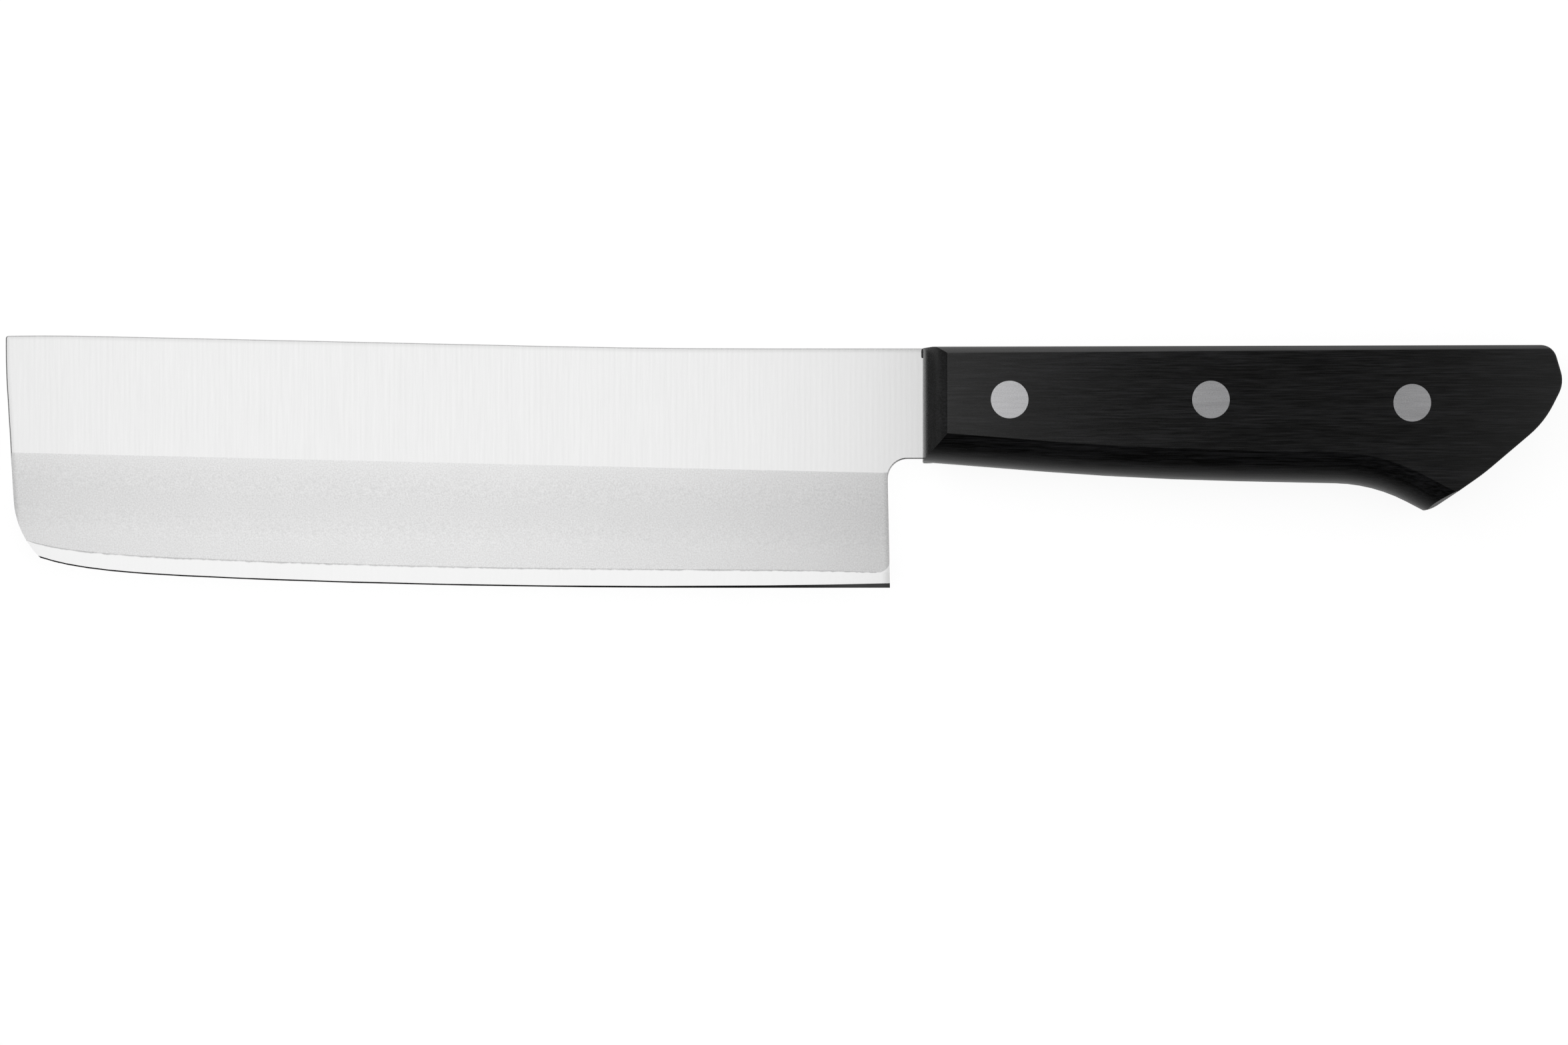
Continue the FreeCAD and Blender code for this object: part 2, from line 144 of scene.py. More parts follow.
@dataclass(frozen=True)
class Finish:
    """What a surface is made of and how it was worked, drawn in millimetres on the object's coordinates."""

    name: str
    relief: float = 0.5              # how much of the marks' relief shows
    relief_depth: float = 5e-6       # how deep they are, in metres

    def material(self) -> bpy.types.Material:
        """Makes the material.

        Returns:
            The material, with all its nodes.
        """
        material = bare_material(self.name)
        tree = material.node_tree
        surface = add_node(tree, "BsdfPrincipled")
        add_node(tree, "OutputMaterial", {"Surface": surface.outputs[0]})
        metres = add_node(tree, "TexCoord").outputs["Object"]
        to_mm = {"Vector": metres, "Scale": (1 / MM, 1 / MM, 1 / MM)}
        spot = add_node(tree, "Mapping", to_mm).outputs[0]
        self.work(tree, surface, spot)
        return material

    def work(
        self, tree: bpy.types.NodeTree, surface: bpy.types.Node, spot: bpy.types.NodeSocket
    ) -> None:
        """Draws the finish.

        Args:
            tree: the material's tree.
            surface: its principled shader.
            spot: the place on the object, in millimetres.
        """
        raise NotImplementedError

    def grain(
        self,
        tree: bpy.types.NodeTree,
        spot: bpy.types.NodeSocket,
        size: Triple,
        detail: float = 2.0,
        shift: float = 0.0,
    ) -> bpy.types.NodeSocket:
        """Draws marks of one size all over, longer one way than another where the sizes differ.

        Args:
            tree: the material's tree.
            spot: the place on the object, in millimetres.
            size: how long the marks are along X, Y and Z, in millimetres.
            detail: how many finer layers of marks ride on them.
            shift: moves the pattern, so that two of them differ.

        Returns:
            A socket that runs from 0 to 1.
        """
        per_mm = tuple(1 / length for length in size)
        place = {"Vector": spot, "Location": (shift, shift, shift), "Scale": per_mm}
        place = add_node(tree, "Mapping", place).outputs[0]
        return add_node(tree, "TexNoise", {"Vector": place, "Scale": 1.0, "Detail": detail}).outputs[0]

    def lay_on(
        self,
        tree: bpy.types.NodeTree,
        surface: bpy.types.Node,
        colour: bpy.types.NodeSocket,
        rough: bpy.types.NodeSocket,
        height: bpy.types.NodeSocket,
    ) -> None:
        """Feeds the shader with what was drawn.

        Args:
            tree: the material's tree.
            surface: its principled shader.
            colour: the drawn colour.
            rough: the drawn roughness.
            height: the marks that give the surface its relief.
        """
        bump = {"Strength": self.relief, "Distance": self.relief_depth, "Height": height}
        bump = add_node(tree, "Bump", bump).outputs[0]
        for name, socket in {"Base Color": colour, "Roughness": rough, "Normal": bump}.items():
            tree.links.new(socket, surface.inputs[name])


@dataclass(frozen=True)
class GroundCladding(Finish):
    """Soft stainless cladding: flats belt-ground across the blade, and a blasted bevel below a crisp ridge.

    The eye gets bright silky flats with hairlines from spine to ridge, an even, finely speckled grey below,
    and a rim where the belt has eased the spine, the nose and the heel, rougher and painted darker as shade.
    The bevel is also painted darker in its middle and towards the heel, as shade.
    """

    relief: float = 0.4
    relief_depth: float = 4e-6
    flat_colour: str = "#EDEDED"
    bevel_colour: str = "#EEEEEE"

    # The blade's lines, in millimetres from the middle of the knife.
    ridge_height: float = -1.687     # Y of the ridge in the middle of the knife
    ridge_slope: float = 0.02339     # it climbs towards the nose
    ridge_blur: float = 0.03
    bevel_width: float = 14.5
    spine_height: float = 21.145
    spine_bend: float = -23.2        # X where the spine starts to climb,
    spine_crest: float = -135.6      # X where it stops,
    spine_climb: float = 2.47        # and how far it climbs
    nose: float = -145.0
    nose_bend: float = 17.6          # Y below which the nose leans back
    nose_lean: float = 0.0612
    heel: float = 19.5               # X of the heel's line in the middle of the knife
    heel_lean: float = -0.02095
    heel_top: float = -2.0           # Y of the neck, above which the heel's line is no edge,
    neck_fade: float = 1.0           # over how much height that comes about,
    no_edge: float = 50.0            # and how far off it then counts as
    rim: float = 1.1                 # how far in from an edge the belt has eased it, and the steel is painted darker as shade

    # Marks, in millimetres. Hairlines are 0.05 mm wide on the real steel and drawn as 0.35 mm, so that they
    # show. Blasting leaves pits of 0.05 mm, drawn as 0.26 mm.
    hairline: Triple = (0.35, 7.0, 4.0)
    band: Triple = (3.0, 40.0, 4.0)
    pit: Triple = (0.26, 0.26, 0.26)
    cloud: Triple = (9.0, 9.0, 9.0)
    belt_mark: float = 1.05          # the belt's joint leaves faint marks at this spacing,
    belt_waver: float = 1.5          # which waver this much

    # How light the steel is, as a share of its colour, and what each mark adds.
    flat_shade: float = 0.923
    hair_shade: float = 0.12
    belt_shade: float = 0.014
    band_shade: float = 0.02
    bevel_shade: float = 0.68
    pit_shade: float = 0.60
    cloud_shade: float = 0.04
    falloff_start: float = -50.0        # painted shade: X from which the bevel is drawn darker, up to the heel, where the light falls off,
    falloff_painted_shade: float = -0.05        # and by how much
    hollow_painted_shade: float = -0.02     # painted shade: the bevel is ground a little hollow, so its middle is drawn darker,
    hollow_painted_light: float = 0.055      # and its two sides this much lighter than that, as painted light
    # painted shade: the eased rim is drawn this much darker
    rim_painted_shade: float = -0.10

    # Roughness, and what each mark adds.
    flat_rough: float = 0.18
    hair_rough: float = 0.06
    bevel_rough: float = 0.275
    pit_rough: float = 0.10
    rim_rough: float = 0.06

    def rim_share(
        self, tree: bpy.types.NodeTree, x: bpy.types.NodeSocket, y: bpy.types.NodeSocket
    ) -> bpy.types.NodeSocket:
        """Finds how near a place is to the spine, the nose or the heel.

        Args:
            tree: the material's tree.
            x: the place along the knife, in millimetres.
            y: its height, in millimetres.

        Returns:
            A socket that is 1 at an edge and 0 inside the rim.
        """
        top = self.spine_height + self.spine_climb
        spine = {"Value": x, 1: self.spine_bend, 2: self.spine_crest, 3: self.spine_height, 4: top}
        spine = add_node(tree, "MapRange", spine).outputs[0]
        under = add_node(tree, "Math", {0: spine, 1: y}, operation="SUBTRACT").outputs[0]

        drop = add_node(tree, "Math", {0: self.nose_bend, 1: y}, operation="SUBTRACT").outputs[0]
        drop = add_node(tree, "Math", {0: drop, 1: 0.0}, operation="MAXIMUM").outputs[0]
        nose = {0: drop, 1: self.nose_lean, 2: self.nose}
        nose = add_node(tree, "Math", nose, operation="MULTIPLY_ADD").outputs[0]
        behind = add_node(tree, "Math", {0: x, 1: nose}, operation="SUBTRACT").outputs[0]

        heel = {0: y, 1: self.heel_lean, 2: self.heel}
        heel = add_node(tree, "Math", heel, operation="MULTIPLY_ADD").outputs[0]
        ahead = add_node(tree, "Math", {0: heel, 1: x}, operation="SUBTRACT").outputs[0]
        neck = {"Value": y, 1: self.heel_top, 2: self.heel_top + self.neck_fade, 3: 0.0, 4: self.no_edge}
        neck = add_node(tree, "MapRange", neck).outputs[0]
        ahead = add_node(tree, "Math", {0: ahead, 1: neck}, operation="ADD").outputs[0]

        gap = add_node(tree, "Math", {0: under, 1: behind}, operation="MINIMUM").outputs[0]
        gap = add_node(tree, "Math", {0: gap, 1: ahead}, operation="MINIMUM").outputs[0]
        limits = {"Value": gap, 1: self.rim, 2: 0.0}
        return add_node(tree, "MapRange", limits, interpolation_type="SMOOTHSTEP").outputs[0]

    def work(
        self, tree: bpy.types.NodeTree, surface: bpy.types.Node, spot: bpy.types.NodeSocket
    ) -> None:
        """Draws hairlines above the ridge, speckle below it, and the eased rim, with painted shade on the rim
        and the bevel.

        Args:
            tree: the material's tree.
            surface: its principled shader.
            spot: the place on the object, in millimetres.
        """
        x, y, _ = add_node(tree, "SeparateXYZ", {0: spot}).outputs
        over = {0: x, 1: self.ridge_slope, 2: y}
        over = add_node(tree, "Math", over, operation="MULTIPLY_ADD").outputs[0]
        ridge = self.ridge_height
        limits = {"Value": over, 1: ridge + self.ridge_blur, 2: ridge - self.ridge_blur}
        below = add_node(tree, "MapRange", limits).outputs[0]
        # the eased rim: rougher, and painted darker as shade
        rim = self.rim_share(tree, x, y)

        hairs = self.grain(tree, spot, self.hairline, detail=3.0)
        bands = self.grain(tree, spot, self.band, detail=1.0, shift=7.0)
        pits = self.grain(tree, spot, self.pit)
        clouds = self.grain(tree, spot, self.cloud)
        chatter = {
            "Vector": spot,
            "Scale": math.pi / 10 / self.belt_mark,     # the wave's own period is a tenth of pi
            "Distortion": self.belt_waver,
            "Detail": 2.0,
            "Detail Scale": 0.4,
        }
        chatter = add_node(tree, "TexWave", chatter).outputs["Fac"]

        flat = {0: hairs, 1: self.hair_shade, 2: self.flat_shade}
        flat = add_node(tree, "Math", flat, operation="MULTIPLY_ADD").outputs[0]
        flat = {0: chatter, 1: self.belt_shade, 2: flat}
        flat = add_node(tree, "Math", flat, operation="MULTIPLY_ADD").outputs[0]
        flat = {0: bands, 1: self.band_shade, 2: flat}
        flat = add_node(tree, "Math", flat, operation="MULTIPLY_ADD").outputs[0]

        bevel = {0: pits, 1: self.pit_shade, 2: self.bevel_shade}
        bevel = add_node(tree, "Math", bevel, operation="MULTIPLY_ADD").outputs[0]
        bevel = {0: clouds, 1: self.cloud_shade, 2: bevel}
        bevel = add_node(tree, "Math", bevel, operation="MULTIPLY_ADD").outputs[0]
        # painted shade: the bevel darkens towards the heel, where the light falls off
        painted_falloff = {"Value": x, 1: self.falloff_start, 2: self.heel, 3: 0.0, 4: self.falloff_painted_shade}
        painted_falloff = add_node(tree, "MapRange", painted_falloff).outputs[0]
        bevel = add_node(tree, "Math", {0: bevel, 1: painted_falloff}, operation="ADD").outputs[0]
        across = {"Value": over, 1: ridge, 2: ridge - self.bevel_width, 3: -1.0, 4: 1.0}
        across = add_node(tree, "MapRange", across).outputs[0]
        # painted shade and light across the bevel's hollow
        hollow = add_node(tree, "Math", {0: across, 1: across}, operation="MULTIPLY").outputs[0]
        hollow = {0: hollow, 1: self.hollow_painted_light, 2: self.hollow_painted_shade}
        hollow = add_node(tree, "Math", hollow, operation="MULTIPLY_ADD").outputs[0]
        bevel = add_node(tree, "Math", {0: bevel, 1: hollow}, operation="ADD").outputs[0]

        shade = add_node(tree, "Mix", {0: below, 2: flat, 3: bevel}).outputs[0]
        # painted shade on the eased rim
        shade = {0: rim, 1: self.rim_painted_shade, 2: shade}
        shade = add_node(tree, "Math", shade, operation="MULTIPLY_ADD").outputs[0]
        colours = {0: below, 6: linear(self.flat_colour), 7: linear(self.bevel_colour)}
        steel = add_node(tree, "Mix", colours, data_type="RGBA").outputs[2]
        tinted = add_node(tree, "HueSaturation", {"Color": steel, "Value": shade}).outputs[0]

        flat_rough = {0: hairs, 1: self.hair_rough, 2: self.flat_rough}
        flat_rough = add_node(tree, "Math", flat_rough, operation="MULTIPLY_ADD").outputs[0]
        bevel_rough = {0: pits, 1: self.pit_rough, 2: self.bevel_rough}
        bevel_rough = add_node(tree, "Math", bevel_rough, operation="MULTIPLY_ADD").outputs[0]
        rough = add_node(tree, "Mix", {0: below, 2: flat_rough, 3: bevel_rough}).outputs[0]
        rough = {0: rim, 1: self.rim_rough, 2: rough}
        rough = add_node(tree, "Math", rough, operation="MULTIPLY_ADD").outputs[0]
        height = add_node(tree, "Mix", {0: below, 2: hairs, 3: pits}).outputs[0]
        surface.inputs["Metallic"].default_value = 1.0
        self.lay_on(tree, surface, tinted, rough, height)


@dataclass(frozen=True)
class EdgeSteel(Finish):
    """Hard core steel: a bright fine-stoned strip along the edge, and the honed bevel that cuts.

    The strip mirrors the light softly. Where it meets the cladding runs a thin dark line, slightly ragged,
    and the honed bevel is so steep that it mirrors the dim side of the air and looks dark; its colour is
    painted darker as well, darkest at the heel, and the strip is painted darker at the heel, as shade.
    """

    relief: float = 0.3
    relief_depth: float = 2e-6
    strip_colour: str = "#F3F3F3"
    cladding_colour: str = "#DEDEDE"
    # painted shade: the honed bevel's colours are darker than the steel's own
    honed_shaded_colour: str = "#7A7A7A"
    heel_shaded_colour: str = "#464646"     # the honed bevel is wider towards the heel, and painted darker there as shade

    # The core's layers and lines, in millimetres.
    middle: float = 9.0              # Z of the blade's middle
    half_core: float = 0.3
    half_honed: float = 0.1
    honed_blur: float = 0.001
    strip_top: float = -11.5         # below this Y lies only the strip
    strip_blur: float = 0.1
    strip_fall: float = 0.057        # how fast the strip thins towards the edge
    heel: float = 20.0
    heel_roll: float = 2.6           # the cladding's corner is rolled off this far before the heel,
    roll_fade: float = 0.5           # over this length
    heel_rim: float = 1.8            # how far in from the heel the strip is painted darker, as shade of its eased corner
    darkening_start: float = 22.0         # how far before the heel the honed bevel starts to be painted darker as shade,
    darkening_end: float = 4.0            # and where it is at its darkest

    # Marks, in millimetres. Stoning scratches are 0.03 mm wide, drawn as 0.5 mm, and blasting leaves pits of
    # 0.05 mm, drawn as 0.26 mm.
    tooth: Triple = (1.1, 30.0, 30.0)    # of the ragged line
    scratch: Triple = (0.5, 5.0, 5.0)
    pit: Triple = (0.26, 0.26, 0.26)
    tooth_reach: float = -0.6        # how far the teeth move the line
    clad_limits: Span = (-0.12, -0.20)   # where the strip ends, and where the cladding is full
    line_middle: float = 0.14        # how far up the dark line lies,
    line_limits: Span = (0.22, 0.05)     # how far from there it has faded out, and how far it is full

    # How light the steel is, as a share of its colour, and what each mark adds.
    strip_shade: float = 0.985
    scratch_shade: float = 0.03
    heel_painted_shade: float = -0.22
    clad_shade: float = 0.75
    pit_shade: float = 0.50
    line_shade: float = -0.22

    strip_rough: float = 0.17
    clad_rough: float = 0.32
    honed_rough: float = 0.16

    def work(
        self, tree: bpy.types.NodeTree, surface: bpy.types.Node, spot: bpy.types.NodeSocket
    ) -> None:
        """Draws the strip, the ragged line of the cladding and the honed bevel.

        Args:
            tree: the material's tree.
            surface: its principled shader.
            spot: the place on the object, in millimetres.
        """
        x, y, z = add_node(tree, "SeparateXYZ", {0: spot}).outputs
        side = add_node(tree, "Math", {0: z, 1: self.middle}, operation="SUBTRACT").outputs[0]
        half = add_node(tree, "Math", {0: side}, operation="ABSOLUTE").outputs[0]

        # How far below the cladding a place on the strip lies, in millimetres.
        depth = {"Value": half, 1: self.half_core, 2: self.half_core - self.strip_fall, 3: 0.0, 4: 1.0}
        depth = add_node(tree, "MapRange", depth, clamp=False).outputs[0]
        roll = self.heel - self.heel_roll
        bare = add_node(tree, "MapRange", {"Value": x, 1: roll, 2: roll + self.roll_fade}).outputs[0]
        depth = {0: bare, 1: 1.0, 2: depth}
        depth = add_node(tree, "Math", depth, operation="MULTIPLY_ADD").outputs[0]

        teeth = self.grain(tree, spot, self.tooth, detail=4.0)
        wavy = {0: teeth, 1: self.tooth_reach, 2: depth}
        wavy = add_node(tree, "Math", wavy, operation="MULTIPLY_ADD").outputs[0]
        limits = {"Value": wavy, 1: self.clad_limits[0], 2: self.clad_limits[1]}
        clad = add_node(tree, "MapRange", limits).outputs[0]
        off = add_node(tree, "Math", {0: wavy, 1: self.line_middle}, operation="ADD").outputs[0]
        off = add_node(tree, "Math", {0: off}, operation="ABSOLUTE").outputs[0]
        limits = {"Value": off, 1: self.line_limits[0], 2: self.line_limits[1]}
        line = add_node(tree, "MapRange", limits).outputs[0]
        limits = {"Value": half, 1: self.half_honed + self.honed_blur, 2: self.half_honed - self.honed_blur}
        honed = add_node(tree, "MapRange", limits).outputs[0]
        limits = {"Value": y, 1: self.strip_top + self.strip_blur, 2: self.strip_top - self.strip_blur}
        low = add_node(tree, "MapRange", limits).outputs[0]

        stoned = self.grain(tree, spot, self.scratch)
        pits = self.grain(tree, spot, self.pit)
        shade = {0: stoned, 1: self.scratch_shade, 2: self.strip_shade}
        shade = add_node(tree, "Math", shade, operation="MULTIPLY_ADD").outputs[0]
        # painted shade: the strip darkens towards the heel, as shade of its eased corner
        rim = {"Value": x, 1: self.heel - self.heel_rim, 2: self.heel, 3: 0.0, 4: self.heel_painted_shade}
        rim = add_node(tree, "MapRange", rim, interpolation_type="SMOOTHSTEP").outputs[0]
        shade = add_node(tree, "Math", {0: rim, 1: shade}, operation="ADD").outputs[0]
        speck = {0: pits, 1: self.pit_shade, 2: self.clad_shade}
        speck = add_node(tree, "Math", speck, operation="MULTIPLY_ADD").outputs[0]
        shade = add_node(tree, "Mix", {0: clad, 2: shade, 3: speck}).outputs[0]
        shade = {0: line, 1: self.line_shade, 2: shade}
        shade = add_node(tree, "Math", shade, operation="MULTIPLY_ADD").outputs[0]

        colours = {0: clad, 6: linear(self.strip_colour), 7: linear(self.cladding_colour)}
        strip = add_node(tree, "Mix", colours, data_type="RGBA").outputs[2]
        # painted shade: the honed bevel darkens towards the heel
        limits = {"Value": x, 1: self.heel - self.darkening_start, 2: self.heel - self.darkening_end}
        heel_darkening = add_node(tree, "MapRange", limits).outputs[0]
        colours = {0: heel_darkening, 6: linear(self.honed_shaded_colour), 7: linear(self.heel_shaded_colour)}
        hone = add_node(tree, "Mix", colours, data_type="RGBA").outputs[2]
        steel = add_node(tree, "Mix", {0: honed, 6: strip, 7: hone}, data_type="RGBA").outputs[2]
        colours = {0: low, 6: linear(self.cladding_colour), 7: steel}
        steel = add_node(tree, "Mix", colours, data_type="RGBA").outputs[2]
        tinted = add_node(tree, "HueSaturation", {"Color": steel, "Value": shade}).outputs[0]

        rough = add_node(tree, "Mix", {0: clad, 2: self.strip_rough, 3: self.clad_rough}).outputs[0]
        rough = add_node(tree, "Mix", {0: honed, 2: rough, 3: self.honed_rough}).outputs[0]
        rough = add_node(tree, "Mix", {0: low, 2: self.clad_rough, 3: rough}).outputs[0]
        height = add_node(tree, "Mix", {0: clad, 2: stoned, 3: pits}).outputs[0]
        surface.inputs["Metallic"].default_value = 1.0
        self.lay_on(tree, surface, tinted, rough, height)


@dataclass(frozen=True)
class LaminatedWood(Finish):
    """Thin veneers soaked in black resin and pressed into a block, then sanded to a satin.

    The eye gets near-black wood with short pores and faint streaks along the flats, and the edges of the
    veneers as fine lines wherever a round cuts through them.
    """

    relief_depth: float = 8e-6
    dark_colour: str = "#020202"
    light_colour: str = "#28282A"
    ior: float = 1.52

    # Marks, in millimetres. Pores are 0.1 mm wide and drawn as 0.2 mm. The veneers are 0.6 mm thick.
    figure: Triple = (38.0, 3.6, 2.0)
    streak: Triple = (10.0, 0.35, 0.4)
    pore: Triple = (4.0, 0.2, 0.3)
    veneer: Triple = (400.0, 400.0, 0.6)
    sanding: Triple = (6.0, 0.3, 0.3)

    # How much each mark counts beside the streaks, and the sums at which the wood is darkest and lightest.
    figure_share: float = 0.8
    pore_share: float = 0.8
    veneer_share: float = 0.6
    dark_sum: float = 1.48
    light_sum: float = 1.94

    sanding_limits: Span = (0.3, 0.7)
    rough_limits: Span = (0.20, 0.32)

    def work(
        self, tree: bpy.types.NodeTree, surface: bpy.types.Node, spot: bpy.types.NodeSocket
    ) -> None:
        """Draws grain along the handle and veneers through its thickness.

        Args:
            tree: the material's tree.
            surface: its principled shader.
            spot: the place on the object, in millimetres.
        """
        figure = self.grain(tree, spot, self.figure, detail=3.0, shift=9.0)
        streaks = self.grain(tree, spot, self.streak, detail=4.0)
        pores = self.grain(tree, spot, self.pore, detail=2.0, shift=5.0)
        veneers = self.grain(tree, spot, self.veneer, detail=3.0, shift=3.0)
        sanding = self.grain(tree, spot, self.sanding, detail=2.0, shift=13.0)
        shares = ((figure, self.figure_share), (pores, self.pore_share), (veneers, self.veneer_share))
        mixed = streaks
        for mark, share in shares:
            sums = {0: mark, 1: share, 2: mixed}
            mixed = add_node(tree, "Math", sums, operation="MULTIPLY_ADD").outputs[0]
        limits = {"Value": mixed, 1: self.dark_sum, 2: self.light_sum}
        tone = add_node(tree, "MapRange", limits).outputs[0]
        colours = {0: tone, 6: linear(self.dark_colour), 7: linear(self.light_colour)}
        wood = add_node(tree, "Mix", colours, data_type="RGBA").outputs[2]

        rough = {"Value": sanding, 1: self.sanding_limits[0], 2: self.sanding_limits[1]}
        rough |= {3: self.rough_limits[0], 4: self.rough_limits[1]}
        rough = add_node(tree, "MapRange", rough).outputs[0]
        surface.inputs["IOR"].default_value = self.ior
        self.lay_on(tree, surface, wood, rough, mixed)


@dataclass(frozen=True)
class GroundRivet(Finish):
    """Stainless rivet steel, ground flush together with the wood, so its hairlines run along the handle.

    The eye gets an even soft grey with fine lines and specks.
    """

    colour: str = "#EDEDEF"

    # Marks, in millimetres. Hairlines are 0.03 mm wide, drawn as 0.2 mm, and the specks between them are
    # drawn as 0.25 mm.
    hairline: Triple = (5.0, 0.2, 4.0)
    speck: Triple = (0.25, 0.16, 0.25)

    base_shade: float = 0.58
    hair_shade: float = 0.28
    speck_shade: float = 0.53
    base_rough: float = 0.28
    hair_rough: float = 0.14

    def work(
        self, tree: bpy.types.NodeTree, surface: bpy.types.Node, spot: bpy.types.NodeSocket
    ) -> None:
        """Draws the hairlines and the specks.

        Args:
            tree: the material's tree.
            surface: its principled shader.
            spot: the place on the object, in millimetres.
        """
        hairs = self.grain(tree, spot, self.hairline, detail=3.0)
        specks = self.grain(tree, spot, self.speck, detail=2.0, shift=4.0)
        shade = {0: hairs, 1: self.hair_shade, 2: self.base_shade}
        shade = add_node(tree, "Math", shade, operation="MULTIPLY_ADD").outputs[0]
        shade = {0: specks, 1: self.speck_shade, 2: shade}
        shade = add_node(tree, "Math", shade, operation="MULTIPLY_ADD").outputs[0]
        steel = {"Color": linear(self.colour), "Value": shade}
        tinted = add_node(tree, "HueSaturation", steel).outputs[0]
        rough = {0: hairs, 1: self.hair_rough, 2: self.base_rough}
        rough = add_node(tree, "Math", rough, operation="MULTIPLY_ADD").outputs[0]
        surface.inputs["Metallic"].default_value = 1.0
        self.lay_on(tree, surface, tinted, rough, hairs)


@dataclass(frozen=True)
class GlueAndShadeFinish(Finish):
    """Black epoxy, squeezed out of a joint and set: a glossy bead with a skin that isn't quite even; also
    worn by a dark line of painted shade.
    """

    relief: float = 0.4
    relief_depth: float = 2e-5
    colour: str = "#2C2C2D"
    ior: float = 1.55
    lump: Triple = (0.3, 0.3, 0.3)   # in millimetres
    base_shade: float = 0.6
    lump_shade: float = 0.8
    base_rough: float = 0.2
    lump_rough: float = 0.2

    def work(
        self, tree: bpy.types.NodeTree, surface: bpy.types.Node, spot: bpy.types.NodeSocket
    ) -> None:
        """Draws the uneven skin.

        Args:
            tree: the material's tree.
            surface: its principled shader.
            spot: the place on the object, in millimetres.
        """
        lumps = self.grain(tree, spot, self.lump)
        shade = {0: lumps, 1: self.lump_shade, 2: self.base_shade}
        shade = add_node(tree, "Math", shade, operation="MULTIPLY_ADD").outputs[0]
        skin = {"Color": linear(self.colour), "Value": shade}
        tinted = add_node(tree, "HueSaturation", skin).outputs[0]
        rough = {0: lumps, 1: self.lump_rough, 2: self.base_rough}
        rough = add_node(tree, "Math", rough, operation="MULTIPLY_ADD").outputs[0]
        surface.inputs["IOR"].default_value = self.ior
        self.lay_on(tree, surface, tinted, rough, lumps)


@dataclass
class Blade:
    """The three bonded layers of steel, with the tang that they form under the handle."""

    core: str = "blade_core"
    cladding: GroundCladding = field(default_factory=lambda: GroundCladding("ground_stainless_cladding"))
    edge: EdgeSteel = field(default_factory=lambda: EdgeSteel("stoned_core_steel"))

    def dress(self, nodes: dict[str, bpy.types.Object]) -> None:
        """Gives the layers their finishes.

        Args:
            nodes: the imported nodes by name.
        """
        put_on(nodes[self.core], self.edge.material())
        cladding = self.cladding.material()
        for side in Side:
            put_on(nodes[side.value + "_cladding"], cladding)


@dataclass
class Handle:
    """The two scales of laminated wood."""

    wood: LaminatedWood = field(default_factory=lambda: LaminatedWood("black_laminated_wood"))

    def dress(self, nodes: dict[str, bpy.types.Object]) -> None:
        """Gives the scales their finish.

        Args:
            nodes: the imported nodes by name.
        """
        wood = self.wood.material()
        for side in Side:
            put_on(nodes[side.value + "_scale"], wood)


@dataclass
class Rivets:
    """The three pairs of stud and sleeve that hold the scales."""

    steel: GroundRivet = field(default_factory=lambda: GroundRivet("ground_rivet_steel"))

    def dress(self, nodes: dict[str, bpy.types.Object]) -> None:
        """Gives both halves of each rivet their finish.

        Args:
            nodes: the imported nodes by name.
        """
        steel = self.steel.material()
        for place in RivetPlace:
            for half in RivetHalf:
                put_on(nodes[f"{place.value}_rivet_{half.value}"], steel)


@dataclass
class DarkBead:
    """A small dark bead at the front of the handle, by the joint of scale and tang."""

    name: str
    centre: Triple                   # in millimetres, as its size is
    size: Triple
    smoothing: int = 2               # rounds of subdivision

    def model(self) -> bpy.types.Object:
        """Models the bead from a block whose corners are rounded off.

        Returns:
            The bead, with its place in its mesh.
        """
        bpy.ops.object.select_all(action="DESELECT")
        bpy.ops.mesh.primitive_cube_add(size=1.0)
        bead = bpy.context.object
        bead.name = self.name
        bpy.ops.object.mode_set(mode="EDIT")
        bpy.ops.mesh.select_all(action="SELECT")
        bpy.ops.mesh.subdivide(number_cuts=1)
        bpy.ops.transform.resize(value=[length * MM for length in self.size])
        bpy.ops.transform.translate(value=[place * MM for place in self.centre])
        bpy.ops.object.mode_set(mode="OBJECT")
        rounding = bead.modifiers.new("rounding", "SUBSURF")
        rounding.levels = self.smoothing
        rounding.render_levels = self.smoothing
        bpy.ops.object.modifier_apply(modifier=rounding.name)
        bpy.ops.object.shade_smooth()
        return bead


@dataclass
class GlueAndShadeBeads:
    """The dark beads at the handle's front: a drop of glue on the left flat, and a line under the tang that
    is painted shade of the handle's front-lower corner.
    """

    finish: GlueAndShadeFinish = field(default_factory=lambda: GlueAndShadeFinish("black_epoxy_and_painted_shade"))
    beads: tuple[DarkBead, ...] = (
        DarkBead("front_glue_bead", (26.0, 20.15, 9.98), (0.38, 1.7, 0.45)),
        # painted shade: a dark line that stands in for the shade under the handle's front-lower corner
        DarkBead("tang_shade_bead", (27.12, -0.16, 9.0), (1.95, 0.34, 0.8)),
    )

    def build(self) -> None:
        """Models the beads and dresses them."""
        material = self.finish.material()
        for bead in self.beads:
            piece = bead.model()
            piece.data.materials.append(material)
            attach(piece, "root")
            log.info("%s wears %s", piece.name, material.name)


@dataclass
class SoftPanel:
    """A soft light panel that faces straight down."""

    name: str
    centre: Triple                   # in metres, as its size is
    size: tuple[float, float]
    brightness: float                # 1 is a white that just shows white

    def hang(self) -> None:
        """Hangs the panel, with the power that gives it its brightness."""
        lamp = bpy.data.lights.new(self.name, "AREA")
        lamp.shape = "RECTANGLE"
        lamp.size, lamp.size_y = self.size
        lamp.energy = math.pi * self.size[0] * self.size[1] * self.brightness
        panel = bpy.data.objects.new(self.name, lamp)
        panel.location = self.centre
        panel.rotation_euler = Vector((0.0, 0.0, -1.0)).to_track_quat("-Z", "Y").to_euler()
        panel.visible_camera = False
        bpy.context.scene.collection.objects.link(panel)


